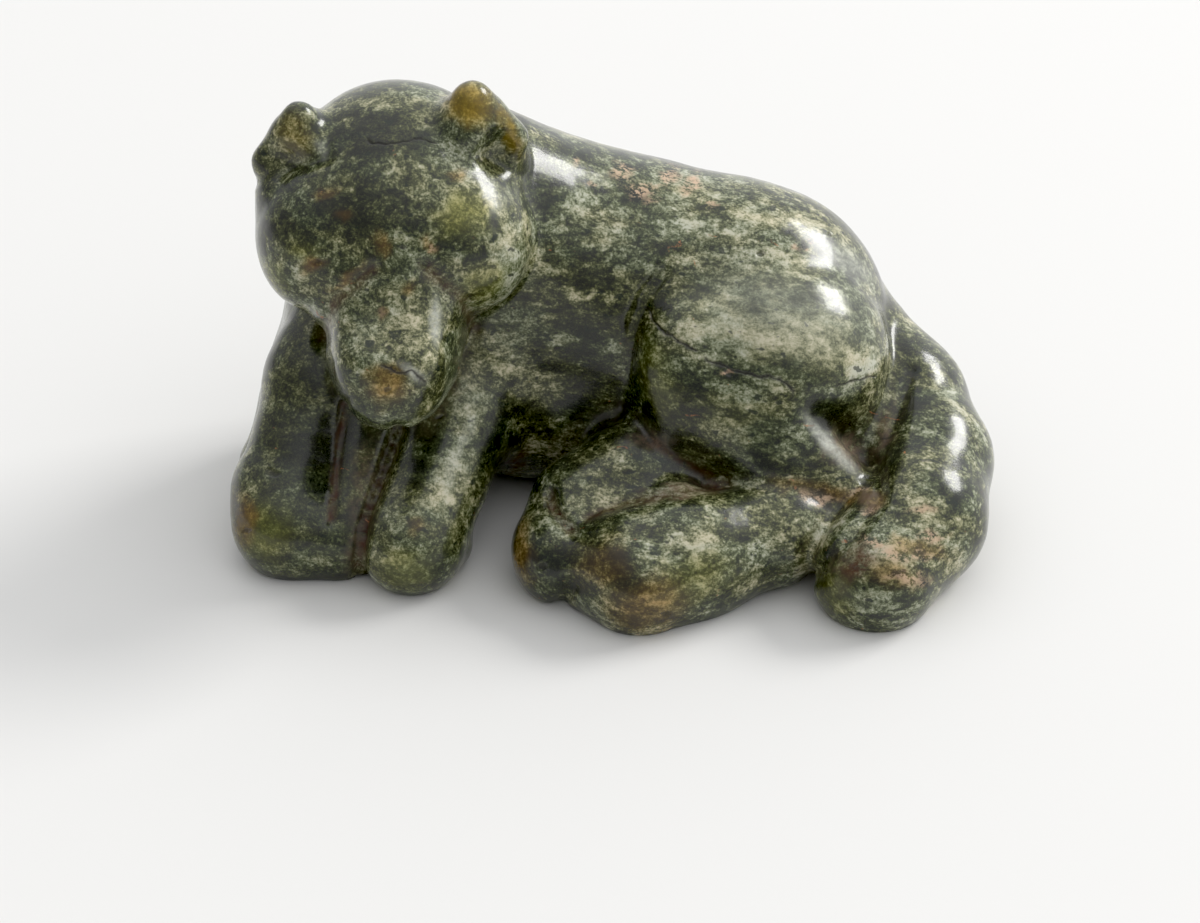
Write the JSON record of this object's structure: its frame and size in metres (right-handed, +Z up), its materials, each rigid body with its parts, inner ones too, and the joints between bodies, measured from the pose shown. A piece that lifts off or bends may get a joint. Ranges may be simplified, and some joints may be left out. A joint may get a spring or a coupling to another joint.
{
  "type": "stone animal carving",
  "caption": "Polished stone carving of a resting bear with raised head, stretched fore legs and curled tail, sitting on its flat underside as an ornament.",
  "frame": {"origin": "on the resting plane, under the middle of the carving's overall box", "axes": "+X from the head towards the rump, -Y towards the side the face and feet point to, +Z up"},
  "size_m": [0.0839, 0.0531, 0.0509],
  "materials": {
    "soapstone": "polished"
  },
  "bodies": {
    "root": {"bear_carving": "soapstone"}
  },
  "joints": []
}
